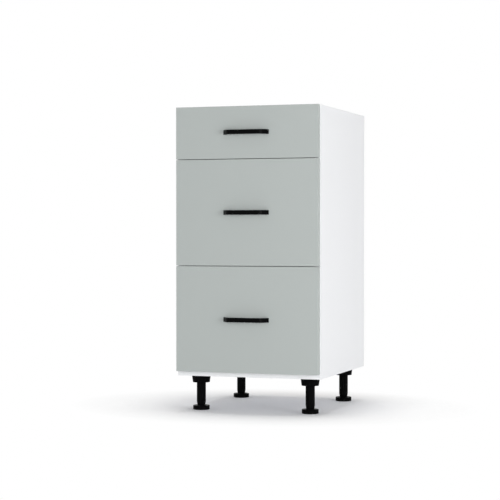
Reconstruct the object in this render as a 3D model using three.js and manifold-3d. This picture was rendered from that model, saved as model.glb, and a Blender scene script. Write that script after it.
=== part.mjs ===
// Kitchen base cabinet with three drawers on four adjustable legs. Millimetres, +Z up.
//
// Everything is placed in the carcass's own frame: x = 0 at mid-width, y = 0 at the front
// edges of the side panels and growing to the back, z = 0 under the carcass. The last
// lines move it all, so that the origin lies on the floor under the middle of the outline.
import * as THREE from 'three';
import { mergeVertices } from 'three/addons/utils/BufferGeometryUtils.js';
import Module from 'manifold-3d';

const wasm = await Module();
wasm.setup();

// Carcass: melamine-faced boards and a thin back nailed on from behind.
const carcassWidth = 400;
const carcassHeight = 720;
const panelDepth = 447;
const panelThickness = 16;
const backThickness = 3;
const backInset = 2;
const topRailDepth = 80;

// Drawer fronts, which overlay the carcass and close on soft bumpers.
const frontThickness = 18;
const bumperGap = 1;
const frontSideReveal = 2;
const frontTopReveal = 0.25;
const frontBottomReveal = 13;
const frontSpacing = 1.5;
const topFrontHeight = 139.25;

// Flat-bar bow handles.
const handleLength = 127;
const handleSplay = 16.75;
const handleHeight = 12;
const handleProjection = 21;
const handleThickness = 6;
const handleBendRadius = 3;
const handleBendSteps = 6;

// Drawer boxes.
const boxBoardThickness = 12;
const boxBottomThickness = 3;
const boxBottomInset = 1;
const boxLift = 21;
const boxRearClearance = 43;
const deepBoxHeadroom = 81;
const topRailClearance = 20;

// Ball-bearing runners: three nested channels on each side of each drawer.
const runnerHeight = 45;
const runnerThickness = 12.75;
const runnerSheet = 1.25;
const runnerBallSpace = 4;
const runnerMemberGap = 0.75;
const runnerLip = 1.5;
const runnerSetback = 2;
const runnerRearClearance = 45;
const runnerRise = 37.5;

// Adjustable legs: a socket under the bottom panel, a ribbed tube and a screw-in foot.
const legHeight = 96;
const legSideInset = 45.5;
const legFrontInset = 57;
const legRearInset = 58;
const socketHeight = 21.5;
const socketTopRadius = 26;
const socketBottomRadius = 23;
const spigotRadius = 10;
const spigotHeight = 12;
const spigotEndGap = 0.5;
const tubeRadius = 12.5;
const tubeRibDepth = 0.75;
const tubeRibCount = 12;
const tubeTaperHeight = 10;
const tubeTaperInset = 2;
const tubeCrown = 17.75;
const footRadius = 22.5;
const footHeight = 11.5;
const footEdgeRadius = 1.5;
const footEdgeSteps = 4;
const stemRadius = 8;
const runningGap = 0.25;
const roundSides = 32;

// Worked out from the sizes above.
const halfWidth = carcassWidth / 2;
const innerWidth = carcassWidth - 2 * panelThickness;
const sharedFrontHeight = carcassHeight - frontTopReveal - frontBottomReveal - 2 * frontSpacing;
const deepFrontHeight = (sharedFrontHeight - topFrontHeight) / 2;
const frontWidth = carcassWidth - 2 * frontSideReveal;
const topBoxHeadroom = panelThickness - frontTopReveal + topRailClearance;
const boxWidth = innerWidth - 2 * runnerThickness;
const boxLength = panelDepth + bumperGap - boxRearClearance;
const runnerLength = panelDepth - runnerSetback - runnerRearClearance;
const tubeLength = legHeight - socketHeight - footHeight - runningGap;
const boreRadius = stemRadius + runningGap;

const finish = {
  front: { color: 0xb9bfbc, roughness: 0.55, metalness: 0 },
  melamine: { color: 0xeeeeec, roughness: 0.45, metalness: 0 },
  hardboard: { color: 0xe6e5e1, roughness: 0.6, metalness: 0 },
  handle: { color: 0x141516, roughness: 0.4, metalness: 0.3 },
  zinc: { color: 0xb4b8bc, roughness: 0.35, metalness: 0.9 },
  legPlastic: { color: 0x17181a, roughness: 0.5, metalness: 0 },
};

function piece(name, geometry, material) {
  const mesh = new THREE.Mesh(geometry, new THREE.MeshStandardMaterial(finish[material]));
  mesh.name = name;
  return mesh;
}

// A board between two opposite corners.
function board(name, material, from, to) {
  const size = to.map((high, axis) => high - from[axis]);
  const mesh = piece(name, new THREE.BoxGeometry(...size), material);
  mesh.position.set(...size.map((length, axis) => from[axis] + length / 2));
  return mesh;
}

// Closed geometry to a solid that can be joined and cut, and back.
function toSolid(geometry) {
  const bare = geometry.clone();
  bare.deleteAttribute('normal');
  bare.deleteAttribute('uv');
  const merged = mergeVertices(bare, 1e-4);
  const mesh = new wasm.Mesh({
    numProp: 3,
    vertProperties: Float32Array.from(merged.attributes.position.array),
    triVerts: Uint32Array.from(merged.index.array),
  });
  return new wasm.Manifold(mesh);
}

function toGeometry(solid) {
  const mesh = solid.getMesh();
  const geometry = new THREE.BufferGeometry();
  geometry.setAttribute('position', new THREE.BufferAttribute(mesh.vertProperties, 3));
  geometry.setIndex(new THREE.BufferAttribute(mesh.triVerts, 1));
  geometry.computeVertexNormals();
  return geometry;
}

// A turned shape about the Z axis, from [radius, height] points listed bottom to top.
function turned(profile, sides = roundSides) {
  const points = profile.map(([radius, height]) => new THREE.Vector2(radius, height));
  return new THREE.LatheGeometry(points, sides).rotateX(Math.PI / 2);
}

function carcass() {
  const group = new THREE.Group();
  const inner = innerWidth / 2;
  const railBottom = carcassHeight - panelThickness;
  const backEdge = panelDepth + backThickness;
  group.add(
    board('left_side_panel', 'melamine', [-halfWidth, 0, 0], [-inner, panelDepth, carcassHeight]),
    board('right_side_panel', 'melamine', [inner, 0, 0], [halfWidth, panelDepth, carcassHeight]),
    board('bottom_panel', 'melamine', [-inner, 0, 0], [inner, panelDepth, panelThickness]),
    board('front_top_rail', 'melamine', [-inner, 0, railBottom], [inner, topRailDepth, carcassHeight]),
    board('rear_top_rail', 'melamine',
      [-inner, panelDepth - topRailDepth, railBottom], [inner, panelDepth, carcassHeight]),
    board('back_panel', 'hardboard',
      [backInset - halfWidth, panelDepth, backInset],
      [halfWidth - backInset, backEdge, carcassHeight - backInset]),
  );
  return group;
}

// The bow seen from above: a foot on the front at each end, a splayed leg and a rounded bend.
function handleOutline() {
  const turn = Math.atan2(handleProjection, handleSplay);
  const miter = Math.tan(turn / 2);
  const gripEnd = handleLength / 2 - handleSplay;
  const centreX = gripEnd - (handleThickness + handleBendRadius) * miter;
  const centreY = handleProjection - handleThickness - handleBendRadius;
  const bend = (radius) => {
    const points = [];
    for (let step = 0; step <= handleBendSteps; step += 1) {
      const angle = Math.PI / 2 - turn + (turn * step) / handleBendSteps;
      points.push([centreX + radius * Math.cos(angle), centreY + radius * Math.sin(angle)]);
    }
    return points;
  };
  const outer = [[handleLength / 2, 0], ...bend(handleBendRadius + handleThickness)];
  const footInside = handleLength / 2 - handleThickness / Math.sin(turn);
  const inner = [[footInside, 0], ...bend(handleBendRadius)];
  const mirrored = (points) => points.map(([x, y]) => [-x, y]);
  const outline = [...outer, ...mirrored(outer).reverse(), ...mirrored(inner), ...inner.reverse()];
  return new THREE.Shape(outline.map(([x, y]) => new THREE.Vector2(x, -y)));
}

function handle(name, frontFace, middleHeight) {
  const settings = { depth: handleHeight, bevelEnabled: false };
  const mesh = piece(name, new THREE.ExtrudeGeometry(handleOutline(), settings), 'handle');
  mesh.position.set(0, frontFace, middleHeight - handleHeight / 2);
  return mesh;
}

function drawer(name, frontBottom, frontHeight, headroom) {
  const group = new THREE.Group();
  const frontFace = -bumperGap - frontThickness;
  const outer = boxWidth / 2;
  const inner = outer - boxBoardThickness;
  const start = -bumperGap;
  const end = start + boxLength;
  const low = frontBottom + boxLift;
  const high = frontBottom + frontHeight - headroom;
  group.add(
    board(`${name}_drawer_front`, 'front',
      [-frontWidth / 2, frontFace, frontBottom], [frontWidth / 2, start, frontBottom + frontHeight]),
    handle(`${name}_drawer_handle`, frontFace, frontBottom + frontHeight / 2),
    board(`${name}_drawer_left_side`, 'melamine', [-outer, start, low], [-inner, end, high]),
    board(`${name}_drawer_right_side`, 'melamine', [inner, start, low], [outer, end, high]),
    board(`${name}_drawer_inner_front`, 'melamine',
      [-inner, start, low], [inner, start + boxBoardThickness, high]),
    board(`${name}_drawer_back`, 'melamine', [-inner, end - boxBoardThickness, low], [inner, end, high]),
    board(`${name}_drawer_bottom`, 'hardboard',
      [boxBottomInset - outer, start + boxBottomInset, low - boxBottomThickness],
      [outer - boxBottomInset, end - boxBottomInset, low]),
  );
  return group;
}

// A channel along Y: its web's outside is at x = back and its flanges reach to x = tip, both
// counted from the side panel into the cabinet. With a lip, the flanges' edges turn in.
function channel(name, inward, back, tip, halfHeight, lip) {
  const away = Math.sign(tip - back);
  const webInside = back + away * runnerSheet;
  const flangeInside = halfHeight - runnerSheet;
  const lipStart = tip - away * runnerSheet;
  const half = [[back, halfHeight], [tip, halfHeight]];
  if (lip > 0) {
    half.push([tip, flangeInside - lip], [lipStart, flangeInside - lip], [lipStart, flangeInside]);
  } else {
    half.push([tip, flangeInside]);
  }
  half.push([webInside, flangeInside]);
  const other = half.map(([x, z]) => [x, -z]).reverse();
  const outline = [...half, ...other].map(([x, z]) => new THREE.Vector2(inward * x, z));
  const settings = { depth: runnerLength, bevelEnabled: false };
  const mesh = piece(name, new THREE.ExtrudeGeometry(new THREE.Shape(outline), settings), 'zinc');
  mesh.rotation.x = Math.PI / 2;
  return mesh;
}

function runner(drawerName, sideName, side, axisHeight) {
  const inward = -side;
  const group = new THREE.Group();
  const base = `${drawerName}_${sideName}`;
  const cabinetHalf = runnerHeight / 2;
  const middleHalf = cabinetHalf - runnerSheet - runnerBallSpace;
  const drawerHalf = middleHalf - runnerSheet - runnerBallSpace;
  const middleBack = runnerSheet + runnerMemberGap;
  const middleTip = runnerThickness - middleBack;
  const drawerTip = middleBack + runnerSheet + runnerMemberGap;
  const cabinetTip = middleTip - runnerMemberGap;
  const members = [
    channel(`${base}_cabinet_rail`, inward, 0, cabinetTip, cabinetHalf, runnerLip),
    channel(`${base}_middle_rail`, inward, middleBack, middleTip, middleHalf, 0),
    channel(`${base}_drawer_rail`, inward, runnerThickness, drawerTip, drawerHalf, 0),
  ];
  for (const member of members) {
    member.position.set((side * innerWidth) / 2, runnerSetback + runnerLength, axisHeight);
    group.add(member);
  }
  return group;
}

function ribbedOutline() {
  const points = [];
  const quarter = (2 * Math.PI) / tubeRibCount / 4;
  for (let rib = 0; rib < tubeRibCount; rib += 1) {
    const start = 4 * quarter * rib;
    const radii = [tubeRadius, tubeRadius, tubeRadius - tubeRibDepth, tubeRadius - tubeRibDepth];
    radii.forEach((radius, corner) => {
      const angle = start + quarter * corner;
      points.push(new THREE.Vector2(radius * Math.cos(angle), radius * Math.sin(angle)));
    });
  }
  return new THREE.Shape(points);
}

// The tube stands on z = 0: ribbed, tapered at its foot, with a spigot on top and a blind
// bore from below for the foot's stem.
function tubeGeometry() {
  const overlap = 1;
  const ribbedSettings = { depth: tubeLength, bevelEnabled: false };
  const ribbed = toSolid(new THREE.ExtrudeGeometry(ribbedOutline(), ribbedSettings));
  const envelope = toSolid(turned([
    [0, -overlap],
    [tubeRadius - tubeTaperInset, -overlap],
    [tubeRadius - tubeTaperInset, 0],
    [tubeRadius, tubeTaperHeight],
    [tubeRadius + overlap, tubeTaperHeight],
    [tubeRadius + overlap, tubeLength + overlap],
    [0, tubeLength + overlap],
  ]));
  const spigot = toSolid(turned([
    [0, tubeLength - overlap],
    [spigotRadius, tubeLength - overlap],
    [spigotRadius, tubeLength + spigotHeight],
    [0, tubeLength + spigotHeight],
  ]));
  const bore = toSolid(turned([
    [0, -overlap],
    [boreRadius, -overlap],
    [boreRadius, tubeLength - tubeCrown],
    [0, tubeLength - tubeCrown],
  ]));
  return toGeometry(ribbed.intersect(envelope).add(spigot).subtract(bore));
}

function socketGeometry() {
  const recessRadius = spigotRadius + runningGap;
  const recessTop = spigotHeight + spigotEndGap;
  return turned([
    [0, recessTop],
    [recessRadius, recessTop],
    [recessRadius, 0],
    [socketBottomRadius, 0],
    [socketTopRadius, socketHeight],
    [0, socketHeight],
  ]);
}

// The foot stands on z = 0: a disc with a rounded lower edge and a stem.
function footGeometry() {
  const profile = [[0, 0]];
  for (let step = 0; step <= footEdgeSteps; step += 1) {
    const angle = (Math.PI / 2) * (step / footEdgeSteps);
    profile.push([
      footRadius - footEdgeRadius + footEdgeRadius * Math.sin(angle),
      footEdgeRadius - footEdgeRadius * Math.cos(angle),
    ]);
  }
  const stemTop = footHeight + tubeLength - tubeCrown - runningGap;
  profile.push([footRadius, footHeight], [stemRadius, footHeight], [stemRadius, stemTop], [0, stemTop]);
  return turned(profile);
}

function leg(name, x, y) {
  const group = new THREE.Group();
  const socket = piece(`${name}_leg_socket`, socketGeometry(), 'legPlastic');
  socket.position.z = -socketHeight;
  const tube = piece(`${name}_leg_tube`, tubeGeometry(), 'legPlastic');
  tube.position.z = -socketHeight - tubeLength;
  const foot = piece(`${name}_leg_foot`, footGeometry(), 'legPlastic');
  foot.position.z = -legHeight;
  group.add(socket, tube, foot);
  group.position.set(x, y, 0);
  return group;
}

const cabinet = new THREE.Group();
cabinet.add(carcass());

const drawers = [
  { name: 'bottom', height: deepFrontHeight, headroom: deepBoxHeadroom },
  { name: 'middle', height: deepFrontHeight, headroom: deepBoxHeadroom },
  { name: 'top', height: topFrontHeight, headroom: topBoxHeadroom },
];
const sides = [['left', -1], ['right', 1]];
let frontBottom = frontBottomReveal;
for (const { name, height, headroom } of drawers) {
  cabinet.add(drawer(name, frontBottom, height, headroom));
  for (const [sideName, side] of sides) {
    cabinet.add(runner(name, sideName, side, frontBottom + boxLift + runnerRise));
  }
  frontBottom += height + frontSpacing;
}

for (const [rowName, y] of [['front', legFrontInset], ['rear', panelDepth - legRearInset]]) {
  for (const [sideName, side] of sides) {
    cabinet.add(leg(`${rowName}_${sideName}`, side * (halfWidth - legSideInset), y));
  }
}

const frontmost = -bumperGap - frontThickness - handleProjection;
const rearmost = panelDepth + backThickness;
cabinet.position.set(0, -(frontmost + rearmost) / 2, legHeight);

const group = new THREE.Group();
group.add(cabinet);

export default group;
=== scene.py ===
import math

import bmesh
import bpy
from mathutils import Matrix, Vector


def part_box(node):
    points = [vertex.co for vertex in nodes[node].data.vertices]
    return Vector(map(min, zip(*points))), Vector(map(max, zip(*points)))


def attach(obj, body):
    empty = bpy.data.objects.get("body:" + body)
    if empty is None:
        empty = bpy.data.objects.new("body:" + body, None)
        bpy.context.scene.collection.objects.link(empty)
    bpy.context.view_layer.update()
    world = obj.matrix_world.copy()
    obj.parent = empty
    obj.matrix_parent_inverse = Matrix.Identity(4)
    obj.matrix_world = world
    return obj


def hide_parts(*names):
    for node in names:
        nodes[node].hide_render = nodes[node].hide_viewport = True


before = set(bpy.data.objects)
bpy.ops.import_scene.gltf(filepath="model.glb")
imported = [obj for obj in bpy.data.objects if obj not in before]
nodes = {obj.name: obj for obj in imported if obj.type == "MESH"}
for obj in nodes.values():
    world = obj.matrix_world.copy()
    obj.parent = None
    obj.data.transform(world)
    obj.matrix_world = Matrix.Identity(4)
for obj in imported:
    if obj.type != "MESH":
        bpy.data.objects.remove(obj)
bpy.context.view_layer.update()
mm = 0.001
drawers = ("bottom", "middle", "top")
legs = ("front_left", "front_right", "rear_left", "rear_right")
print("stage: frame loaded with", len(nodes), "nodes")


def newObject(name, data):
    thing = bpy.data.objects.new(name, data)
    bpy.context.scene.collection.objects.link(thing)
    return thing


camera = {
    "place": (1.348265, -4.148856, 0.483116),
    "turn": 18.81255,    # degrees about the vertical
    "tilt": -0.66664,    # degrees up from level
    "lens": 113.1166, "sensor": 36.0, "reach": 60.0,
}
cameraData = bpy.data.cameras.new("camera")
cameraData.lens = camera["lens"]
cameraData.sensor_width = camera["sensor"]
cameraData.clip_end = camera["reach"]
cameraObject = newObject("camera", cameraData)
cameraObject.location = camera["place"]
cameraObject.rotation_euler = (math.radians(90 + camera["tilt"]), 0, math.radians(camera["turn"]))
bpy.context.scene.camera = cameraObject
bpy.context.scene.view_settings.view_transform = "Standard"
print("stage: camera")


class Tree:
    # short ways to add and join nodes in one node tree
    def __init__(self, nodeTree):
        self.nodeTree = nodeTree

    def add(self, kind, **settings):
        node = self.nodeTree.nodes.new(kind)
        for key, value in settings.items():
            setattr(node, key, value)
        return node

    def feed(self, value, socket):
        if isinstance(value, bpy.types.NodeSocket):
            self.nodeTree.links.new(value, socket)
        else:
            socket.default_value = value

    def run(self, kind, *inputs, **settings):
        # feeds a new node's first inputs in their order and gives its first output
        node = self.add(kind, **settings)
        for value, socket in zip(inputs, node.inputs):
            self.feed(value, socket)
        return node.outputs[0]

    def named(self, kind, values, **settings):
        # feeds a new node's inputs by their names and gives all its outputs
        node = self.add(kind, **settings)
        for key, value in values.items():
            self.feed(value, node.inputs[key])
        return node.outputs

    def group(self, group, **values):
        return self.named("ShaderNodeGroup", values, node_tree=group)

    def place(self):
        return self.add("ShaderNodeTexCoord").outputs["Object"]

    def math(self, operation, a, b, clamp=False):
        return self.run("ShaderNodeMath", a, b, operation=operation, use_clamp=clamp)

    def weigh(self, a, shareA, b, shareB, clamp=False):
        # a sum of two values, each times its share
        return self.math("ADD", self.math("MULTIPLY", a, shareA), self.math("MULTIPLY", b, shareB), clamp)

    def vectorMath(self, operation, *inputs):
        return self.run("ShaderNodeVectorMath", *inputs, operation=operation)

    def mapRange(self, value, low, high, newLow=0.0, newHigh=1.0):
        return self.run("ShaderNodeMapRange", value, low, high, newLow, newHigh)

    def mixColor(self, share, a, b):
        node = self.add("ShaderNodeMix", data_type="RGBA")
        for value, index in ((share, 0), (a, 6), (b, 7)):
            self.feed(value, node.inputs[index])
        return node.outputs[2]

    def noise(self, place, scale, detail, roughness=0.5, output="Fac"):
        values = {"Vector": place, "Scale": scale, "Detail": detail, "Roughness": roughness}
        return self.named("ShaderNodeTexNoise", values)[output]


def rgb(red, green, blue):
    # a picture's 0 to 255 values as linear light
    def linear(value):
        value = value / 255
        return value / 12.92 if value <= 0.04045 else ((value + 0.055) / 1.055) ** 2.4
    return (linear(red), linear(green), linear(blue), 1.0)


def newGroup(name, inputs, outputs):
    # an input's first value gives its kind: four numbers make a colour, three a vector
    group = bpy.data.node_groups.new(name, "ShaderNodeTree")
    kinds = {4: "NodeSocketColor", 3: "NodeSocketVector"}
    for label, value in inputs.items():
        kind = kinds[len(value)] if isinstance(value, tuple) else "NodeSocketFloat"
        group.interface.new_socket(name=label, in_out="INPUT", socket_type=kind).default_value = value
    for label in outputs:
        kind = "NodeSocketColor" if label == "Color" else "NodeSocketFloat"
        group.interface.new_socket(name=label, in_out="OUTPUT", socket_type=kind)
    tree = Tree(group)
    return group, tree, tree.add("NodeGroupInput").outputs, tree.add("NodeGroupOutput").inputs


# soft clouds of slightly lighter and darker finish, with the sheen drifting along with them
def buildMottle():
    group, tree, given, result = newGroup(
        "finishMottle",
        {"Color": (0.8, 0.8, 0.8, 1), "Amount": 0.03, "Scale": 12.0, "Roughness": 0.5, "Spread": 0.05},
        ("Color", "Roughness"))
    clouds = tree.noise(tree.place(), given["Scale"], detail=4.0, roughness=0.55)
    drift = tree.math("MULTIPLY", tree.math("SUBTRACT", clouds, 0.5), 4.0)
    brightness = tree.math("ADD", tree.math("MULTIPLY", drift, given["Amount"]), 1.0)
    tree.feed(tree.vectorMath("MULTIPLY", given["Color"], brightness), result["Color"])
    sheen = tree.math("MULTIPLY", drift, given["Spread"])
    tree.feed(tree.math("ADD", given["Roughness"], sheen, True), result["Roughness"])
    return group


# fine surface grain: film texture, powder coat or spark-eroded mould finish
def buildFineGrain():
    group, tree, given, result = newGroup("fineGrain", {"Scale": 1500.0}, ("Height",))
    place = tree.place()
    fine = tree.noise(place, given["Scale"], detail=2.0)
    cells = tree.named("ShaderNodeTexVoronoi", {
        "Vector": place, "Scale": tree.math("MULTIPLY", given["Scale"], 0.6), "Smoothness": 1.0},
        feature="SMOOTH_F1")
    tree.feed(tree.weigh(fine, 0.6, cells["Distance"], 0.4), result["Height"])
    return group


# pressed wood flakes, each in its own tone, with dust over them and dark gaps between
chipboard = {"scale": 420.0, "warpScale": 180.0, "warp": (0.004, 0.004, 0.004), "dustScale": 2600.0,
             "light": rgb(206, 178, 140), "dark": rgb(140, 108, 74), "gap": rgb(96, 72, 48), "gapShare": 0.35}


def buildChipboard():
    group, tree, _, result = newGroup("pressedChips", {}, ("Color", "Height"))
    place = tree.place()
    warp = tree.noise(place, chipboard["warpScale"], detail=3.0, output="Color")
    bent = tree.vectorMath("MULTIPLY_ADD", warp, chipboard["warp"], place)
    chips = tree.named("ShaderNodeTexVoronoi", {"Vector": bent, "Scale": chipboard["scale"]})
    tone = tree.run("ShaderNodeSeparateColor", chips["Color"])
    dust = tree.noise(place, chipboard["dustScale"], detail=2.0)
    gaps = tree.mapRange(chips["Distance"], 0.0, 0.6)
    flakes = tree.mixColor(tree.weigh(tone, 0.7, dust, 0.4, True), chipboard["dark"], chipboard["light"])
    dark = tree.math("MULTIPLY", gaps, chipboard["gapShare"])
    tree.feed(tree.mixColor(dark, flakes, chipboard["gap"]), result["Color"])
    tree.feed(tree.math("SUBTRACT", dust, gaps), result["Height"])
    return group


# masks for the six sides of a board, from its own corners
def buildBoardSides():
    axes = (("Left", "Right"), ("Front", "Rear"), ("Under", "Top"))
    group, tree, given, result = newGroup(
        "boardSides", {"Low": (0, 0, 0), "High": (1, 1, 1), "Depth": 0.0002}, sum(axes, ()))
    here, low, high = (tree.named("ShaderNodeSeparateXYZ", {"Vector": corner})
                       for corner in (tree.place(), given["Low"], given["High"]))
    for axis, (lowSide, highSide) in enumerate(axes):
        lowEdge = tree.math("ADD", low[axis], given["Depth"])
        highEdge = tree.math("SUBTRACT", high[axis], given["Depth"])
        tree.feed(tree.math("LESS_THAN", here[axis], lowEdge), result[lowSide])
        tree.feed(tree.math("GREATER_THAN", here[axis], highEdge), result[highSide])
    return group


# drawn lines of rolled or moulded stock, under soft clouds
def buildDrawLines():
    group, tree, given, result = newGroup(
        "drawLines",
        {"Color": (0.7, 0.7, 0.7, 1), "Tint": (0.6, 0.6, 0.6, 1), "Across": (900, 12, 900),
         "Roughness": 0.35, "Spread": 0.15, "Clouds": 60.0},
        ("Color", "Roughness", "Height"))
    place = tree.place()
    stretched = tree.vectorMath("MULTIPLY", place, given["Across"])
    lines = tree.noise(stretched, 1.0, detail=3.0, roughness=0.6)
    bloom = tree.noise(place, given["Clouds"], detail=2.0)
    share = tree.mapRange(tree.weigh(lines, 0.6, bloom, 0.4), 0.35, 0.65)
    tree.feed(tree.mixColor(share, given["Color"], given["Tint"]), result["Color"])
    spread = tree.math("MULTIPLY", tree.math("SUBTRACT", lines, 0.5), given["Spread"])
    tree.feed(tree.math("ADD", given["Roughness"], spread, True), result["Roughness"])
    tree.feed(lines, result["Height"])
    return group


finishMottle = buildMottle()
fineGrain = buildFineGrain()
pressedChips = buildChipboard()
boardSides = buildBoardSides()
drawLines = buildDrawLines()
print("stage: shader groups")


def newMaterial(name):
    material = bpy.data.materials.new(name)
    material.use_nodes = True
    return material, Tree(material.node_tree), material.node_tree.nodes["Principled BSDF"].inputs


def bump(tree, surface, height, depth, strength=1.0):
    values = {"Strength": strength, "Distance": depth, "Height": height}
    tree.feed(tree.named("ShaderNodeBump", values)["Normal"], surface["Normal"])


def coat(tree, surface, finish):
    tree.feed(finish["Color"], surface["Base Color"])
    tree.feed(finish["Roughness"], surface["Roughness"])


def mottled(tree, look, color):
    return tree.group(finishMottle, Color=color, Amount=look["clouds"], Scale=look["cloudScale"],
                      Roughness=look["roughness"], Spread=look["spread"])


def sideMasks(tree, node, depth):
    low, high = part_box(node)
    return tree.group(boardSides, Low=low, High=high, Depth=depth)


foil = {"color": rgb(174, 180, 178), "back": rgb(236, 237, 238), "filmDepth": 0.0003, "roughness": 0.55,
        "clouds": 0.006, "cloudScale": 6.0, "spread": 0.04,
        "grainScale": 1400.0, "grainDepth": 0.00001, "relief": 0.6}


def foilMaterial(node):
    # foil over the face and edges, white film on the back
    material, tree, surface = newMaterial("foil_" + node)
    rear = sideMasks(tree, node, foil["filmDepth"])["Rear"]
    coat(tree, surface, mottled(tree, foil, tree.mixColor(rear, foil["color"], foil["back"])))
    grain = tree.group(fineGrain, Scale=foil["grainScale"])
    bump(tree, surface, grain["Height"], foil["grainDepth"], foil["relief"])
    return material


# depths of the film, of a glued edge band and of the joint behind it, and the finish of all white boards
filmed = {"filmDepth": 0.0003, "bandDepth": 0.0008, "jointDepth": 0.00095, "joint": rgb(150, 148, 144),
          "jointShare": 0.35, "rawRoughness": 0.9, "rawRelief": 20.0,
          "clouds": 0.004, "cloudScale": 9.0, "spread": 0.03, "grainScale": 1100.0}
white = {**filmed, "color": rgb(236, 237, 239), "band": rgb(238, 239, 241), "roughness": 0.5,
         "grainDepth": 0.00001}
boxWhite = {**filmed, "color": rgb(232, 233, 235), "band": rgb(236, 237, 239), "roughness": 0.55,
            "grainDepth": 0.000012}


def boardMaterial(node, look, faces, banded):
    # chipboard: film on two faces, a glued band on some edges, the raw core anywhere else
    material, tree, surface = newMaterial("board_" + node)
    film, band, joint = (sideMasks(tree, node, look[layer + "Depth"]) for layer in ("film", "band", "joint"))
    covered = tree.math("MAXIMUM", film[faces[0]], film[faces[1]])
    color = look["color"]
    for side in banded:
        covered = tree.math("MAXIMUM", covered, band[side])
        seam = tree.math("SUBTRACT", joint[side], band[side], True)
        color = tree.mixColor(band[side], color, look["band"])
        color = tree.mixColor(tree.math("MULTIPLY", seam, look["jointShare"]), color, look["joint"])
    raw = tree.math("SUBTRACT", 1.0, covered)
    finish = mottled(tree, look, color)
    chips = tree.group(pressedChips)
    grain = tree.group(fineGrain, Scale=look["grainScale"])
    tree.feed(tree.mixColor(raw, finish["Color"], chips["Color"]), surface["Base Color"])
    rough = tree.math("MULTIPLY", raw, look["rawRoughness"])
    tree.feed(tree.math("MAXIMUM", finish["Roughness"], rough), surface["Roughness"])
    chipHeight = tree.math("MULTIPLY", raw, tree.math("MULTIPLY", chips["Height"], look["rawRelief"]))
    bump(tree, surface, tree.math("ADD", grain["Height"], chipHeight), look["grainDepth"])
    return material


hardboard = {
    "paint": {"color": rgb(230, 230, 228), "roughness": 0.5, "clouds": 0.008, "cloudScale": 10.0,
              "spread": 0.05},
    "fibre": {"Color": rgb(150, 118, 84), "Tint": rgb(118, 88, 60), "Across": (420, 420, 420),
              "Roughness": 0.75, "Spread": 0.1, "Clouds": 170.0},
    "paintDepth": 0.0001, "grainScale": 700.0, "grainDepth": 0.00006,
}


def hardboardMaterial(node, whiteSide):
    # thin hardboard: painted on one face, brown pressed fibre on the other face and edges
    material, tree, surface = newMaterial("hardboard_" + node)
    painted = sideMasks(tree, node, hardboard["paintDepth"])[whiteSide]
    bare = tree.math("SUBTRACT", 1.0, painted)
    fibre = tree.group(drawLines, **hardboard["fibre"])
    paint = mottled(tree, hardboard["paint"], hardboard["paint"]["color"])
    grain = tree.group(fineGrain, Scale=hardboard["grainScale"])
    tree.feed(tree.mixColor(painted, fibre["Color"], paint["Color"]), surface["Base Color"])
    tree.feed(tree.weigh(paint["Roughness"], painted, fibre["Roughness"], bare), surface["Roughness"])
    bump(tree, surface, tree.math("ADD", grain["Height"], fibre["Height"]), hardboard["grainDepth"])
    return material


coated = {"clouds": 0.05, "cloudScale": 40.0, "spread": 0.08, "relief": 0.7}
moulded = {"clouds": 0.02, "cloudScale": 60.0, "spread": 0.08, "relief": 0.6}
plains = {
    "powder_coat_black": {**coated, "color": (0.0004, 0.0005, 0.0006, 1), "roughness": 0.26, "gloss": 0.045,
                          "grainScale": 2200.0, "grainDepth": 0.00002},
    "moulded_black": {**coated, "color": (0.0026, 0.0026, 0.0028, 1), "roughness": 0.5, "gloss": 0.017,
                      "grainScale": 1500.0, "grainDepth": 0.00003, "lines": (700, 700, 30), "lineShare": 0.6},
    "cage_nylon": {**moulded, "color": rgb(214, 214, 208), "roughness": 0.45, "gloss": 0.4,
                   "grainScale": 900.0, "grainDepth": 0.00002},
    "lever_black": {**moulded, "color": rgb(24, 24, 25), "roughness": 0.45, "gloss": 0.3,
                    "grainScale": 1200.0, "grainDepth": 0.00003},
    "bumper_silicone": {**moulded, "color": rgb(206, 208, 206), "roughness": 0.25, "gloss": 0.5,
                        "grainScale": 500.0, "grainDepth": 0.00001},
}
metals = {
    "zinc_rolled": {"Color": (0.62, 0.64, 0.66, 1), "Tint": (0.5, 0.52, 0.55, 1), "Across": (1200, 14, 1200),
                    "Roughness": 0.34, "Spread": 0.2},
    "screw_zinc": {"Color": (0.6, 0.61, 0.6, 1), "Tint": (0.46, 0.47, 0.48, 1), "Across": (500, 500, 500),
                   "Roughness": 0.3, "Spread": 0.2},
    "nail_steel": {"Color": (0.5, 0.51, 0.52, 1), "Tint": (0.36, 0.37, 0.38, 1), "Across": (900, 900, 900),
                   "Roughness": 0.4, "Spread": 0.2},
    "ball_steel": {"Color": (0.72, 0.73, 0.75, 1), "Tint": (0.66, 0.67, 0.7, 1), "Across": (300, 300, 300),
                   "Roughness": 0.12, "Spread": 0.05},
    "cast_zinc": {"Color": (0.5, 0.5, 0.5, 1), "Tint": (0.38, 0.38, 0.39, 1), "Across": (240, 240, 240),
                  "Roughness": 0.5, "Spread": 0.2},
}
metalRelief = {"depth": 0.00002, "strength": 0.5}


def plainMaterial(name, look):
    # powder coat, plastic, nylon or silicone in one colour
    material, tree, surface = newMaterial(name)
    coat(tree, surface, mottled(tree, look, look["color"]))
    surface["Specular IOR Level"].default_value = look["gloss"]
    height = tree.group(fineGrain, Scale=look["grainScale"])["Height"]
    if "lines" in look:
        drawn = tree.group(drawLines, Across=look["lines"])
        height = tree.math("ADD", height, tree.math("MULTIPLY", drawn["Height"], look["lineShare"]))
    bump(tree, surface, height, look["grainDepth"], look["relief"])
    return material


def metalMaterial(name, look):
    material, tree, surface = newMaterial(name)
    drawn = tree.group(drawLines, **look)
    surface["Metallic"].default_value = 1.0
    coat(tree, surface, drawn)
    bump(tree, surface, drawn["Height"], metalRelief["depth"], metalRelief["strength"])
    return material


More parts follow.
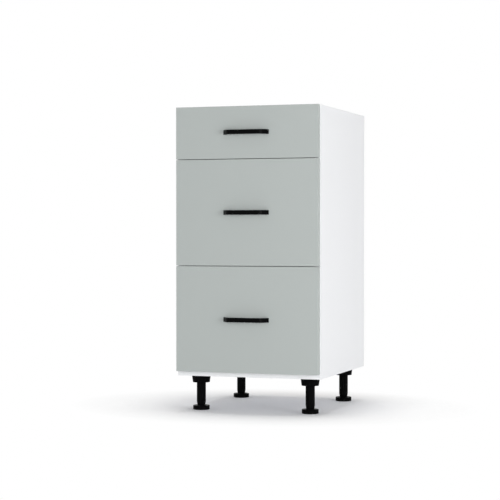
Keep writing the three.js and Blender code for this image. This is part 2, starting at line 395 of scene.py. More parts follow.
finishes = {name: plainMaterial(name, look) for name, look in plains.items()}
finishes.update({name: metalMaterial(name, look) for name, look in metals.items()})
print("stage: materials")


def cornersOf(node):
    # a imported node's corners in millimetres
    low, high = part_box(node)
    return low / mm, high / mm


def middleOf(node):
    low, high = cornersOf(node)
    return [(start + end) / 2 for start, end in zip(low, high)]


weld = {"drawn": 0.001, "packed": 0.00001}    # corners nearer than this are one, in millimetres and in metres


def meshFrom(shape, name, material, smoothAngle=35):
    # a bmesh drawn in millimetres becomes a mesh in metres, smooth except at sharp edges
    bmesh.ops.remove_doubles(shape, verts=shape.verts, dist=weld["drawn"])
    bmesh.ops.recalc_face_normals(shape, faces=shape.faces)
    shape.transform(Matrix.Scale(mm, 4))
    mesh = bpy.data.meshes.new(name)
    shape.to_mesh(mesh)
    shape.free()
    mesh.polygons.foreach_set("use_smooth", [True] * len(mesh.polygons))
    mesh.set_sharp_from_angle(angle=math.radians(smoothAngle))
    mesh.materials.append(material)
    return mesh


def combined(name, shape, other, operation, material):
    # one closed shape with another cut from it or joined to it, as plain mesh
    thing = newObject(name, meshFrom(shape, name, material))
    tool = newObject("tool", meshFrom(other, "tool", material))
    step = thing.modifiers.new("step", "BOOLEAN")
    step.object = tool
    step.operation = operation
    step.solver = "EXACT"
    bpy.context.view_layer.update()
    mesh = bpy.data.meshes.new_from_object(thing.evaluated_get(bpy.context.evaluated_depsgraph_get()))
    mesh.name = name
    for used in (thing, tool):
        bpy.data.objects.remove(used)
    return mesh


def addPiece(name, mesh, body, place=(0, 0, 0), replaces=()):
    piece = newObject(name, mesh)
    piece.location = [value * mm for value in place]
    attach(piece, body)
    if replaces:
        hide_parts(*replaces)
    return piece


# each rounding's width in metres, its segments and the least bend of the edges it takes, in degrees
edges = {
    "board": (0.0004, 2, 30), "hardboard": (0.0003, 1, 30), "front": (0.0007, 3, 30),
    "handle": (0.0009, 3, 40), "tube": (0.0004, 2, 35), "holedBoard": (0.0004, 2, 50),
    "holedHardboard": (0.0003, 2, 50), "rail": (0.0002, 1, 50), "lever": (0.0004, 2, 35),
    "socket": (0.0003, 2, 40),
}
flatWeight = 80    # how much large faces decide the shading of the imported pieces' rounded edges


def bevel(thing, edge):
    rounding = thing.modifiers.new("rounding", "BEVEL")
    rounding.width, rounding.segments, angle = edges[edge]
    rounding.limit_method = "ANGLE"
    rounding.angle_limit = math.radians(angle)
    return thing.modifiers.new("normals", "WEIGHTED_NORMAL")


def roundOff(piece, edge):
    bevel(piece, edge).keep_sharp = True


def dress(node, material, edge=None):
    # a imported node's finish; its triangles are joined and its edges rounded, and the flat faces stay flat
    thing = nodes[node]
    thing.data.materials.clear()
    thing.data.materials.append(material)
    if edge:
        thing.modifiers.new("join", "WELD").merge_threshold = weld["packed"]
        bevel(thing, edge).weight = flatWeight


def facing(point, direction):
    # a frame at point whose Z axis looks along direction
    turn = Vector(direction).to_track_quat("Z", "Y").to_matrix().to_4x4()
    return Matrix.Translation(point) @ turn


def cornerLoops(shape, loops):
    return [[shape.verts.new(corner) for corner in loop] for loop in loops]


def joinLoops(shape, loops):
    # faces from each loop of corners to the next
    for lower, upper in zip(loops, loops[1:]):
        for step in range(len(lower)):
            after = (step + 1) % len(lower)
            shape.faces.new((lower[step], lower[after], upper[after], upper[step]))


def capLoops(shape, loops):
    shape.faces.new(loops[0][::-1])
    shape.faces.new(loops[-1])


def turnedShape(shape, rings, sides, place, capped=True):
    # rings of (radius, height) or (function of the angle, height)
    loops = []
    for radius, height in rings:
        loop = []
        for step in range(sides):
            turn = 2 * math.pi * step / sides
            reach = radius(turn) if callable(radius) else radius
            loop.append(place @ Vector((reach * math.cos(turn), reach * math.sin(turn), height)))
        loops.append(loop)
    loops = cornerLoops(shape, loops)
    joinLoops(shape, loops)
    if capped:
        capLoops(shape, loops)


def outlinePrism(shape, outline, thickness, place):
    # a flat outline in the frame's X and Y, raised along its Z
    loops = [[place @ Vector((x, y, z)) for x, y in outline] for z in (0, thickness)]
    loops = cornerLoops(shape, loops)
    capLoops(shape, loops)
    joinLoops(shape, loops)


def slotOutline(length, radius, steps=8):
    # a stadium about the origin, long along X; a circle where length is 0
    points = []
    for end, start in ((length / 2, -90), (-length / 2, 90)):
        for step in range(steps + 1 if length else steps):
            turn = math.radians(start + 180 * step / steps)
            points.append((end + radius * math.cos(turn), radius * math.sin(turn)))
    return points


domedHead = {
    "rim": 0.98, "sunk": 0.2,    # the lowest ring's share of the radius, and its depth in millimetres
    "dome": ((1.0, 0.0), (1.0, 0.35), (0.93, 0.7), (0.78, 0.93)),    # shares of the radius and height
    "top": 0.6, "crossRoom": 1.08,    # the top ring's share of the radius, or of the cross if that is larger
    "cross": ((1.0, 0.0), (0.94, 0.4), (0.72, 1.0)),    # shares of the cross's size and depth
}


def addScrewHead(shape, place, head):
    # a domed head with a cross recess; its rim starts just under the surface it sits on
    radius, height, recess, arm, slot = (head[key] for key in ("radius", "height", "recess", "arm", "slot"))
    half = (arm + slot) / 2
    quarter = [(arm, 0), (arm, slot), (half, slot), (slot, slot), (slot, half), (slot, arm)]
    cross = quarter + [(-y, x) for x, y in quarter]
    cross += [(-x, -y) for x, y in cross]
    turns = [2 * math.pi * step / len(cross) for step in range(len(cross))]
    circle = [(math.cos(turn), math.sin(turn)) for turn in turns]
    levels = [(circle, radius * domedHead["rim"], -domedHead["sunk"])]
    levels += [(circle, radius * wide, height * rise) for wide, rise in domedHead["dome"]]
    levels.append((circle, max(radius * domedHead["top"], arm * domedHead["crossRoom"]), height))
    levels += [(cross, wide, height - recess * depth) for wide, depth in domedHead["cross"]]
    loops = cornerLoops(shape, [[place @ Vector((x * size, y * size, level)) for x, y in outline]
                                for outline, size, level in levels])
    joinLoops(shape, loops)
    capLoops(shape, loops)


screwTurn = 37    # degrees from one screw's cross to the next, so that each stops at its own angle


def screwHeads(name, places, direction, head, body, finish="screw_zinc"):
    shape = bmesh.new()
    for index, place in enumerate(places):
        turn = Matrix.Rotation(math.radians(screwTurn * index % 90), 4, "Z")
        addScrewHead(shape, facing(place, direction) @ turn, head)
    addPiece(name, meshFrom(shape, name, finishes[finish]), body)


nail = {"rings": ((1.3, -0.1), (1.5, 0.0), (1.5, 0.2), (1.1, 0.35)), "sides": 12}


def nailHeads(name, places, direction, body):
    shape = bmesh.new()
    for place in places:
        turnedShape(shape, nail["rings"], nail["sides"], facing(place, direction))
    addPiece(name, meshFrom(shape, name, finishes["nail_steel"]), body)


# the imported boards, fronts, handles and tubes: which faces have film and which edges a band
panel = {"faces": ("Left", "Right"), "banded": ("Front", "Under", "Top")}
boards = {
    "left_side_panel": panel,
    "right_side_panel": panel,
    "bottom_panel": {"faces": ("Under", "Top"), "banded": ("Front",)},
    "front_top_rail": {"faces": ("Under", "Top"), "banded": ("Front",)},
    "rear_top_rail": {"faces": ("Under", "Top"), "banded": ()},
}
boxBoards = {
    "left_side": {"faces": ("Left", "Right"), "banded": ("Top",)},
    "right_side": {"faces": ("Left", "Right"), "banded": ("Top",)},
    "inner_front": {"faces": ("Front", "Rear"), "banded": ("Top",)},
    "back": {"faces": ("Front", "Rear"), "banded": ("Top",)},
}

for board, sides in boards.items():
    dress(board, boardMaterial(board, white, **sides), "board")
dress("back_panel", hardboardMaterial("back_panel", "Front"), "hardboard")

for drawer in drawers:
    start = drawer + "_drawer_"
    dress(start + "front", foilMaterial(start + "front"), "front")
    dress(start + "handle", finishes["powder_coat_black"], "handle")
    for part, sides in boxBoards.items():
        dress(start + part, boardMaterial(start + part, boxWhite, **sides), "board")
    dress(start + "bottom", hardboardMaterial(start + "bottom", "Top"), "hardboard")
    for side in ("left", "right"):
        for member in ("cabinet", "middle", "drawer"):
            dress(drawer + "_" + side + "_" + member + "_rail", finishes["zinc_rolled"])
for leg in legs:
    for part, edge in (("socket", None), ("tube", "tube"), ("foot", None)):
        dress(leg + "_leg_" + part, finishes["moulded_black"], edge)
print("stage: packed boards, fronts, handles and tubes dressed")


def holedBoard(node, tools, edge):
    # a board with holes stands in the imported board's place
    low, high = cornersOf(node)
    shape = bmesh.new()
    bmesh.ops.create_cube(shape, size=1.0, matrix=Matrix.Translation((low + high) / 2)
                          @ Matrix.Diagonal((*(high - low), 1.0)))
    name = node + "_with_holes"
    mesh = combined(name, shape, tools, "DIFFERENCE", nodes[node].data.materials[0])
    roundOff(addPiece(name, mesh, "carcass", replaces=(node,)), edge)


# screws through these hold a worktop; each hole is cut down from a little above the rail
worktopHoles = {"across": 120.0, "radius": 2.75, "above": 2, "cut": 20}
for rail in ("front_top_rail", "rear_top_rail"):
    top = cornersOf(rail)[1].z + worktopHoles["above"]
    tools = bmesh.new()
    for x in (-worktopHoles["across"], worktopHoles["across"]):
        outlinePrism(tools, slotOutline(0, worktopHoles["radius"]), worktopHoles["cut"],
                     facing((x, middleOf(rail)[1], top), (0, 0, -1)))
    holedBoard(rail, tools, "holedBoard")

# nails round the back panel, each head in a dimple; rows go up the sides, columns along the ends
backNails = {"sideInset": 7.0, "endInset": 7.0, "rowInset": 12, "rows": 7, "columns": 3, "dimple": 1.9,
             "sunk": 0.5, "seat": 0.1, "cut": 3}
low, high = cornersOf("back_panel")
nailPlaces = []
for row in range(backNails["rows"]):
    rise = high.z - low.z - 2 * backNails["rowInset"]
    z = low.z + backNails["rowInset"] + rise * row / (backNails["rows"] - 1)
    nailPlaces += [(x, z) for x in (low.x + backNails["sideInset"], high.x - backNails["sideInset"])]
for column in range(backNails["columns"]):
    x = low.x + (high.x - low.x) * (column + 1) / (backNails["columns"] + 1)
    nailPlaces += [(x, z) for z in (low.z + backNails["endInset"], high.z - backNails["endInset"])]
dimpled = high.y - backNails["sunk"]
tools = bmesh.new()
for x, z in nailPlaces:
    outlinePrism(tools, slotOutline(0, backNails["dimple"]), backNails["cut"],
                 facing((x, dimpled, z), (0, 1, 0)))
holedBoard("back_panel", tools, "holedHardboard")
nailPlaces = [(x, dimpled + backNails["seat"], z) for x, z in nailPlaces]
nailHeads("back_panel_nails", nailPlaces, (0, 1, 0), "carcass")

# cams that pull the boards together, under the bottom panel and under the rails
cam = {"across": 150, "inset": 115,
       "head": {"radius": 7.4, "height": 0.7, "arm": 3.8, "slot": 0.9, "recess": 0.6}}
low, high = cornersOf("bottom_panel")
camPlaces = [(x, y, low.z) for x in (-cam["across"], cam["across"])
             for y in (low.y + cam["inset"], high.y - cam["inset"])]
for rail in ("front_top_rail", "rear_top_rail"):
    camPlaces += [(x, middleOf(rail)[1], cornersOf(rail)[0].z) for x in (-cam["across"], cam["across"])]
screwHeads("panel_cams", camPlaces, (0, 0, -1), cam["head"], "carcass", "cast_zinc")
print("stage: holed boards, nails and cams")


# drawers: handle screws, screws from the box into the front, corner screws, bottom nails and soft bumpers
panHead = {"radius": 3.8, "height": 2.2, "arm": 2.0, "slot": 0.5, "recess": 1.5}
flatHead = {"radius": 3.5, "height": 0.6, "arm": 1.9, "slot": 0.45, "recess": 0.5}
boxFixings = {
    "deepBox": 120,    # boxes higher than this have more screws
    "handleAcross": 59.65, "frontAcross": 130.0, "frontInset": 35.0,
    "cornerInset": 12.0, "topInset": 16.0, "extraCorner": 90,    # up from the side's lower edge
    "nailGap": 62.0, "nailInset": 6, "nailColumns": (-100, 0, 100),
}
bumper = {
    "radius": 3.6, "height": 0.95, "sides": 20, "sideInset": 6.0, "endInset": 14.0,
    "rim": ((0.97, -0.05), (1.0, 0.05)),    # (share of the radius, height)
    "dome": ((0.98, 0.4), (0.86, 0.75), (0.6, 0.94), (0.25, 1.0)),    # shares of the radius and height
}
bumperRings = [(bumper["radius"] * wide, level) for wide, level in bumper["rim"]]
bumperRings += [(bumper["radius"] * wide, bumper["height"] * rise) for wide, rise in bumper["dome"]]

for drawer in drawers:
    start = drawer + "_drawer_"
    body = drawer + "_drawer"
    frontLow, frontHigh = cornersOf(start + "front")
    innerLow, innerHigh = cornersOf(start + "inner_front")
    sideLow, sideHigh = cornersOf(start + "right_side")
    backFace = cornersOf(start + "back")[0].y
    _, innerY, innerZ = middleOf(start + "inner_front")
    rows = (innerY, middleOf(start + "back")[1])
    deep = innerHigh.z - innerLow.z > boxFixings["deepBox"]

    handleZ = middleOf(start + "handle")[2]
    places = [(x, innerHigh.y, handleZ) for x in (-boxFixings["handleAcross"], boxFixings["handleAcross"])]
    screwHeads(start + "handle_screws", places, (0, 1, 0), panHead, body)
    inset = boxFixings["frontInset"]
    levels = (innerLow.z + inset, innerHigh.z - inset) if deep else (innerZ,)
    places = [(x, innerHigh.y, z) for x in (-boxFixings["frontAcross"], boxFixings["frontAcross"])
              for z in levels]
    screwHeads(start + "front_screws", places, (0, 1, 0), panHead, body)

    levels = [sideLow.z + boxFixings["cornerInset"], sideHigh.z - boxFixings["topInset"]]
    if deep:
        levels.append(sideLow.z + boxFixings["extraCorner"])
    for side, direction in (("left", -1), ("right", 1)):
        places = [(direction * sideHigh.x, y, z) for y in rows for z in levels]
        screwHeads(start + side + "_corner_screws", places, (direction, 0, 0), flatHead, body)

    under = cornersOf(start + "bottom")[0].z
    nailX = sideLow.x + boxFixings["nailInset"]
    gaps = round((backFace - innerHigh.y) / boxFixings["nailGap"])
    places = [(x, innerHigh.y + (backFace - innerHigh.y) * step / gaps, under)
              for x in (-nailX, nailX) for step in range(gaps + 1)]
    places += [(x, y, under) for x in boxFixings["nailColumns"] for y in rows]
    nailHeads(start + "bottom_nails", places, (0, 0, -1), body)

    shape = bmesh.new()
    for x in (frontLow.x + bumper["sideInset"], frontHigh.x - bumper["sideInset"]):
        for z in (frontLow.z + bumper["endInset"], frontHigh.z - bumper["endInset"]):
            turnedShape(shape, bumperRings, bumper["sides"], facing((x, frontHigh.y, z), (0, 1, 0)))
    addPiece(start + "bumpers", meshFrom(shape, start + "bumpers", finishes["bumper_silicone"]), body)
print("stage: drawer fixings and bumpers")


# runners: rolled sections with bends, holes, ball cages, levers and stops
# lengths are counted back from the members' front ends, and depths inwards from the side panel
runner = {
    "sheet": 1.25,
    "bend": 1.2,    # radius in the middle of the sheet
    "holeRadius": 2.3, "cut": 4,
    "drawerScrewDepth": 11.5,
    "screw": {"radius": 3.6, "height": 1.7, "arm": 1.9, "slot": 0.5, "recess": 1.2},
    "thinScrew": {"radius": 3.4, "height": 0.55, "arm": 1.8, "slot": 0.45, "recess": 0.45},
}
# slots are (place, length)
members = {
    "cabinet": {"lip": 2.125, "screws": (35.0, 163.0, 355.0),
                "slots": ((99.0, 10.0), (227.0, 10.0), (291.0, 10.0))},
    "middle": {"lip": 0, "screws": (),
               "slots": ((41.5, 14.0), (141.5, 14.0), (261.5, 14.0), (361.5, 14.0))},
    "drawer": {"lip": 0, "screws": (25.5, 213.5, 371.5),
               "slots": ((89.5, 8.0), (153.5, 8.0), (301.5, 8.0))},
}
# one pair of ball rows runs between the cabinet and middle members, one between middle and drawer members
cage = {
    "outer": {"depth": 6.0, "height": 19.25, "middle": 291.5},
    "inner": {"depth": 7.5, "height": 14.0, "middle": 89.5},
    "balls": 9, "gap": 18.0, "ball": 1.95, "ballSegments": (14, 9),
    "stripRadius": 2.25, "strip": 0.8,
    "collar": ((2.55, -0.95), (2.75, -0.8), (2.75, 0.8), (2.55, 0.95)), "collarSides": 16,
}
# the release lever in the drawer member's channel is drawn about its pivot
lever = {
    "pivot": 187.5, "depth": 9.4, "thickness": 2.6,
    "outline": ((4, -5), (-20, -5.5), (-40, -8.2), (-52, -9.2), (-59, -8.6), (-62, -6.2), (-59, -4.2),
                (-46, -3.2), (-30, 1.5), (-16, 4.5), (2, 5), (6, 3), (7, 0), (6, -3)),
    "rivetDepth": 6.8, "rivet": ((3.4, -0.5), (3.6, 0), (3.6, 1.2), (3.0, 1.7)), "rivetSides": 20,
}
# the rubber stop in the rear end of the drawer member is drawn from that end
stop = {
    "depth": 11.45, "thickness": 5.6,
    "outline": ((-14.5, -8.5), (-3.5, -8.5), (-2, -7), (-2, -3), (-5.5, 0), (-2, 3), (-2, 7), (-3.5, 8.5),
                (-14.5, 8.5), (-16, 7), (-16, -7)),
}
innerFace = cornersOf("right_side_panel")[0].x
railFront, railRear = (corner.y for corner in cornersOf("top_right_cabinet_rail"))


def bentLine(corners, radius, steps=5):
    # an open line of sheet metal with its corners bent to a radius
    corners = [Vector(corner) for corner in corners]
    line = [corners[0]]
    for before, corner, after in zip(corners, corners[1:], corners[2:]):
        back, on = (before - corner).normalized(), (after - corner).normalized()
        half = back.angle(on) / 2
        centre = corner + (back + on).normalized() * (radius / math.sin(half))
        first = corner + back * (radius / math.tan(half)) - centre
        last = corner + on * (radius / math.tan(half)) - centre
        line += [centre + first.slerp(last, step / steps) for step in range(steps + 1)]
    return line + [corners[-1]]


def sheetOutline(line, thickness):
    # both sides of a bent line as one closed outline
    left, right = [], []
    for index, point in enumerate(line):
        before, after = line[max(index - 1, 0)], line[min(index + 1, len(line) - 1)]
        along = (after - before).normalized()
        across = Vector((-along.y, along.x)) * thickness / 2
        left.append(point + across)
        right.append(point - across)
    return left + right[::-1]


def alongRow(y):
    # X and Y of this frame are across and up, Z runs towards the front
    return Matrix(((1, 0, 0, 0), (0, 0, -1, y), (0, 1, 0, 0), (0, 0, 0, 1)))


def throughWeb(x, y):
    # X and Y of this frame are front to back and up, Z runs across
    return Matrix(((0, 0, 1, x), (1, 0, 0, y), (0, 1, 0, 0), (0, 0, 0, 1)))


def flatOn(x, y, z):
    # X and Y of this frame are front to back and across, Z is up
    return Matrix(((0, -1, 0, x), (1, 0, 0, y), (0, 0, 1, z), (0, 0, 0, 1)))


def mirrored(shape, side):
    if side == "left":
        shape.transform(Matrix.Diagonal((-1, 1, 1, 1)))
    return shape


def railMesh(member, side):
    low, high = cornersOf("top_right_" + member + "_rail")
    sheet, lip = runner["sheet"], members[member]["lip"]
    inner = (high.z - low.z) / 2 - sheet / 2
    if member == "drawer":    # this one opens outwards
        tip, web = high.x, low.x + sheet / 2
    else:
        tip, web = low.x, high.x - sheet / 2
    corners = [(tip, -inner), (web, -inner), (web, inner), (tip, inner)]
    if lip:
        fold = tip + sheet / 2
        corners = [(fold, -inner + lip), (fold, -inner), *corners[1:3], (fold, inner), (fold, inner - lip)]
    shape = bmesh.new()
    section = sheetOutline(bentLine(corners, runner["bend"]), sheet)
    outlinePrism(shape, section, high.y - low.y, alongRow(high.y))
    tools = bmesh.new()
    cuts = (*members[member]["slots"], *((hole, 0) for hole in members[member]["screws"]))
    for place, length in cuts:
        outlinePrism(tools, slotOutline(length, runner["holeRadius"]), runner["cut"],
                     throughWeb(web - runner["cut"] / 2, railFront + place))
    return combined(side + "_" + member + "_rail", mirrored(shape, side), mirrored(tools, side),
                    "DIFFERENCE", finishes["zinc_rolled"])


def cageMeshes(side):
    # nylon strips with a collar round each ball, and the balls
    strips, collars, balls = bmesh.new(), bmesh.new(), bmesh.new()
    reach = cage["gap"] * (cage["balls"] - 1)
    segments, rings = cage["ballSegments"]
    for row in (cage["outer"], cage["inner"]):
        x, middle = innerFace - row["depth"], railFront + row["middle"]
        for z in (-row["height"], row["height"]):
            outlinePrism(strips, slotOutline(reach, cage["stripRadius"]), cage["strip"],
                         flatOn(x, middle, z - cage["strip"] / 2))
            for step in range(cage["balls"]):
                place = Matrix.Translation((x, middle - reach / 2 + step * cage["gap"], z))
                turnedShape(collars, cage["collar"], cage["collarSides"], place)
                bmesh.ops.create_uvsphere(balls, u_segments=segments, v_segments=rings, radius=cage["ball"],
                                          matrix=place)
    strips = combined(side + "_ball_cage", mirrored(strips, side), mirrored(collars, side), "UNION",
                      finishes["cage_nylon"])
    return strips, meshFrom(mirrored(balls, side), side + "_balls", finishes["ball_steel"], 60)


def leverMesh(side):
    pivot = railFront + lever["pivot"]
    shape = bmesh.new()
    outlinePrism(shape, lever["outline"], lever["thickness"], throughWeb(innerFace - lever["depth"], pivot))
    turnedShape(shape, lever["rivet"], lever["rivetSides"],
                facing((innerFace - lever["rivetDepth"], pivot, 0), (1, 0, 0)))
    return meshFrom(mirrored(shape, side), side + "_lever", finishes["lever_black"])


def stopMesh(side):
    shape = bmesh.new()
    outlinePrism(shape, stop["outline"], stop["thickness"], throughWeb(innerFace - stop["depth"], railRear))
    return meshFrom(mirrored(shape, side), side + "_stop", finishes["lever_black"])


for side, direction in (("left", -1), ("right", 1)):
    rails = {member: railMesh(member, side) for member in members}
    cageStrips, balls = cageMeshes(side)
    levers, stops = leverMesh(side), stopMesh(side)
    for drawer in drawers:
        start = drawer + "_" + side + "_"
        bodies = {"cabinet": "carcass", "middle": drawer + "_middle_rails", "drawer": drawer + "_drawer"}
        axis = middleOf(start + "drawer_rail")[2]
        centre = (0, 0, axis)
        for member, mesh in rails.items():
            node = start + member + "_rail"
            roundOff(addPiece(node + "_rolled", mesh, bodies[member], centre, (node,)), "rail")
        addPiece(start + "ball_cage", cageStrips, bodies["middle"], place=centre)
        addPiece(start + "balls", balls, bodies["middle"], place=centre)
        roundOff(addPiece(start + "release_lever", levers, bodies["drawer"], place=centre), "lever")
        roundOff(addPiece(start + "rail_stop", stops, bodies["drawer"], place=centre), "lever")
        x = direction * (innerFace - runner["drawerScrewDepth"])
        places = [(x, railFront + y, axis) for y in members["drawer"]["screws"]]
        screwHeads(start + "drawer_rail_screws", places, (direction, 0, 0), runner["screw"], bodies["drawer"])
        x = direction * (innerFace - runner["sheet"])
        places = [(x, railFront + y, axis) for y in members["cabinet"]["screws"]]
        screwHeads(start + "cabinet_rail_screws", places, (-direction, 0, 0), runner["thinScrew"], "carcass")
print("stage: runners")


# legs: sockets with ribs underneath and screws, and feet on threaded stems
socket = {
    "lowerRadius": 23.0, "plate": 4.0, "wall": 1.8, "wallGain": 0.6, "sides": 64,
    "hub": 14.5, "hubLean": 0.2, "hubChamfer": 0.6, "bore": 10.25, "boreTop": 12.5, "boreChamfer": 0.3,
    "ribs": 6, "ribThickness": 1.6, "ribBase": 2.5, "ribInPlate": 1.0, "ribInHub": 1.2, "ribInWall": 1.0,
    "screwRing": 18.4, "screwAngles": (0, 60, 180, 240),
    "screw": {"radius": 2.9, "height": 1.6, "arm": 1.5, "slot": 0.42, "recess": 1.1},
}
foot = {
    "disc": 11.5, "sides": 64,
    # (inset from the rim, height) from the middle of the underside, and (inset, depth under the top)
    "under": ((8, 0.8), (7.4, 0.0), (1.5, 0.0), (0.75, 0.2), (0.2, 0.75), (0, 1.5), (0, 1.9)),
    "over": ((0, 1.3), (0, 0.5), (0.15, 0.15), (0.5, 0), (5.0, 0), (5.6, 0.8)),
    "grooveInner": ((12.6, 0.8), (11.8, 0)),    # (radius, depth under the top)
    "flutes": 16, "fluteDepth": 0.5, "fluteHeights": (2.7, 9.4),
    "core": 7.0, "crest": 7.95, "pitch": 4.0, "flank": 3.2,
    "threadFrom": 0.4, "threadTo": 0.8, "threadStep": 0.5, "stemChamfer": 0.6,
}


def socketMesh(sample):
    low, high = cornersOf(sample)
    tall, top = high.z - low.z, (high.x - low.x) / 2
    lower, wall, hub, bore = (socket[key] for key in ("lowerRadius", "wall", "hub", "bore"))
    chamfer, boreTop, edge = socket["hubChamfer"], socket["boreTop"], socket["boreChamfer"]
    floor = tall - socket["plate"]
    # the section from the middle of the top plate round the shell and the hub, as (radius, height)
    section = [(0, tall), (top, tall), (lower, 0), (lower - wall, 0),
               (top - wall - socket["wallGain"], floor), (hub, floor),
               (hub - socket["hubLean"], chamfer), (hub - socket["hubLean"] - chamfer, 0),
               (bore + edge, 0), (bore, edge), (bore, boreTop), (0, boreTop)]
    shape = bmesh.new()
    turnedShape(shape, section, socket["sides"], Matrix.Identity(4), capped=False)
    ribs = bmesh.new()
    half = socket["ribThickness"] / 2
    inner, outer = hub - socket["ribInHub"], lower - socket["ribInWall"]
    for step in range(socket["ribs"]):
        turn = Matrix.Rotation(2 * math.pi * (step + 0.5) / socket["ribs"], 4, "Z")
        outlinePrism(ribs, [(inner, -half), (outer, -half), (outer, half), (inner, half)],
                     floor + socket["ribInPlate"] - socket["ribBase"],
                     turn @ Matrix.Translation((0, 0, socket["ribBase"])))
    return combined("leg_socket", shape, ribs, "UNION", finishes["moulded_black"])


def footMesh(sample):
    low, high = cornersOf(sample)
    radius, tall = (high.x - low.x) / 2, high.z - low.z
    disc, core = foot["disc"], foot["core"]

    def fluted(turn):
        return radius - foot["fluteDepth"] * max(0.0, math.cos(foot["flutes"] * turn)) ** 2

    def thread(height):
        def reach(turn):
            phase = (height / foot["pitch"] - turn / (2 * math.pi)) % 1.0
            return core + (foot["crest"] - core) * max(0.0, 1 - abs(phase - 0.5) * foot["flank"])
        return reach

    rings = [(radius - inset, height) for inset, height in foot["under"]]
    rings += [(fluted, height) for height in foot["fluteHeights"]]
    rings += [(radius - inset, disc - depth) for inset, depth in foot["over"]]
    rings += [(ring, disc - depth) for ring, depth in foot["grooveInner"]]
    rings.append((core, disc))
    height = disc + foot["threadFrom"]
    while height < tall - foot["threadTo"]:
        rings.append((thread(height), height))
        height += foot["threadStep"]
    rings += [(core, tall - foot["stemChamfer"]), (core - foot["stemChamfer"], tall)]
    shape = bmesh.new()
    turnedShape(shape, rings, foot["sides"], Matrix.Identity(4))
    return meshFrom(shape, "leg_foot", finishes["moulded_black"], 40)


socketShared = socketMesh("front_left_leg_socket")
footShared = footMesh("front_left_leg_foot")
for leg in legs:
    low, high = cornersOf(leg + "_leg_socket")
    x, y, _ = middleOf(leg + "_leg_socket")
    roundOff(addPiece(leg + "_leg_socket_ribbed", socketShared, "carcass", (x, y, low.z),
                      (leg + "_leg_socket",)), "socket")
    addPiece(leg + "_leg_foot_threaded", footShared, leg + "_foot", (x, y, 0),
             (leg + "_leg_foot",))
    ring, floor = socket["screwRing"], high.z - socket["plate"]
    turns = [math.radians(angle) for angle in socket["screwAngles"]]
    places = [(x + ring * math.cos(turn), y + ring * math.sin(turn), floor) for turn in turns]
    screwHeads(leg + "_leg_socket_screws", places, (0, 0, -1), socket["screw"], "carcass")
print("stage: legs")


# each lamp's place, size and power; all look at the same point
lamps = {
    "key": ((3.0, -2.0, 0.5), 1.2, 56.5),
    "fill": ((-2.6, -2.8, 0.8), 2.4, 15.0),
    "front": ((1.0, -4.4, 0.35), 2.2, 47.5),
    "rear": ((-1.0, 3.5, 1.2), 2.4, 30.0),
    "top": ((0.0, 0.0, 3.2), 0.9, 25.0),
}
studio = {
    "aim": (0, 0, 0.45), "surroundings": 0.43,
    "floorReach": 14.0, "floorGlow": 0.05, "floorBounce": 0.97,
    # the floor's colour in the soft dark patch under the cabinet, and in the open; the patch is painted
    # shade, a little bluish, laid over the lamps' real shadow wherever the cabinet is within reach
    "paintedShadeReach": 0.25, "covered": (0.84, 0.85, 0.89, 1), "open": (1.0, 1.0, 1.0, 1),
    # the floor turns plain white between these distances, in an oval that is wider than deep
    "shadowReach": (0.25, 0.52), "shadowShape": (0.9, 1.12, 1.0),
}


def softbox(name, place, size, power):
    data = bpy.data.lights.new(name, "AREA")
    data.shape = "SQUARE"
    data.size = size
    data.energy = power
    lamp = newObject(name, data)
    lamp.location = place
    lamp.rotation_euler = (Vector(studio["aim"]) - Vector(place)).to_track_quat("-Z", "Y").to_euler()


def seenDirectly(tree):
    # camera, mirror and glass rays see the bright background
    path = tree.add("ShaderNodeLightPath").outputs
    shown = tree.math("MAXIMUM", path["Is Camera Ray"], path["Is Glossy Ray"])
    return tree.math("MAXIMUM", shown, path["Is Transmission Ray"])


def emptyTree(holder):
    holder.use_nodes = True
    holder.node_tree.nodes.clear()
    return Tree(holder.node_tree)


for lamp, settings in lamps.items():
    softbox(lamp, *settings)

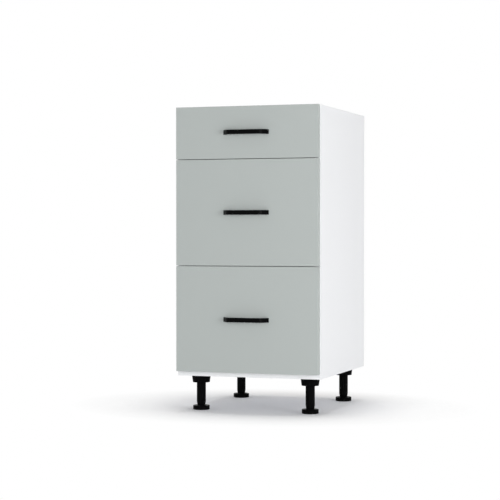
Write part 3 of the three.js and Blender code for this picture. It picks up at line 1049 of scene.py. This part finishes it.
world = bpy.data.worlds.new("surroundings")
bpy.context.scene.world = world
worldTree = emptyTree(world)
strength = worldTree.mapRange(seenDirectly(worldTree), 0.0, 1.0, studio["surroundings"], 1.0)
sky = worldTree.run("ShaderNodeBackground", (1, 1, 1, 1), strength)
worldTree.feed(sky, worldTree.add("ShaderNodeOutputWorld").inputs["Surface"])

floorMesh = bpy.data.meshes.new("floor")
reach = studio["floorReach"]
floorMesh.from_pydata([(-reach, -reach, 0), (reach, -reach, 0), (reach, reach, 0), (-reach, reach, 0)],
                      [], [(0, 1, 2, 3)])
floorObject = newObject("floor", floorMesh)
floorMaterial = bpy.data.materials.new("pale_floor")
floorTree = emptyTree(floorMaterial)
# the lamps' real shadow near the cabinet, darkened further by painted shade where the floor is enclosed and
# lifted by a faint glow; all of it fades to plain white further out
openness = floorTree.named("ShaderNodeAmbientOcclusion", {"Distance": studio["paintedShadeReach"]}, samples=16)
# painted shade: the floor's colour darkens and turns bluish where ambient occlusion finds the cabinet close
paintedContactShade = floorTree.mixColor(openness["AO"], studio["covered"], studio["open"])
shaded = floorTree.run("ShaderNodeBsdfDiffuse", paintedContactShade)
glow = floorTree.run("ShaderNodeEmission", paintedContactShade, studio["floorGlow"])
lit = floorTree.run("ShaderNodeAddShader", shaded, glow)
oval = floorTree.vectorMath("MULTIPLY", floorTree.place(), studio["shadowShape"])
distance = floorTree.named("ShaderNodeVectorMath", {"Vector": oval}, operation="LENGTH")["Value"]
away = floorTree.mapRange(distance, *studio["shadowReach"])
pureWhite = floorTree.run("ShaderNodeEmission", (1, 1, 1, 1), 1.0)
fading = floorTree.run("ShaderNodeMixShader", away, lit, pureWhite)
# other rays meet a plain floor, and from below there is none
bounce = (studio["floorBounce"],) * 3 + (1,)
plain = floorTree.run("ShaderNodeBsdfDiffuse", bounce)
shown = floorTree.run("ShaderNodeMixShader", seenDirectly(floorTree), plain, fading)
below = floorTree.add("ShaderNodeNewGeometry").outputs["Backfacing"]
surface = floorTree.run("ShaderNodeMixShader", below, shown, floorTree.run("ShaderNodeBsdfTransparent"))
floorTree.feed(surface, floorTree.add("ShaderNodeOutputMaterial").inputs["Surface"])
floorMesh.materials.append(floorMaterial)
print("stage: floor and light")
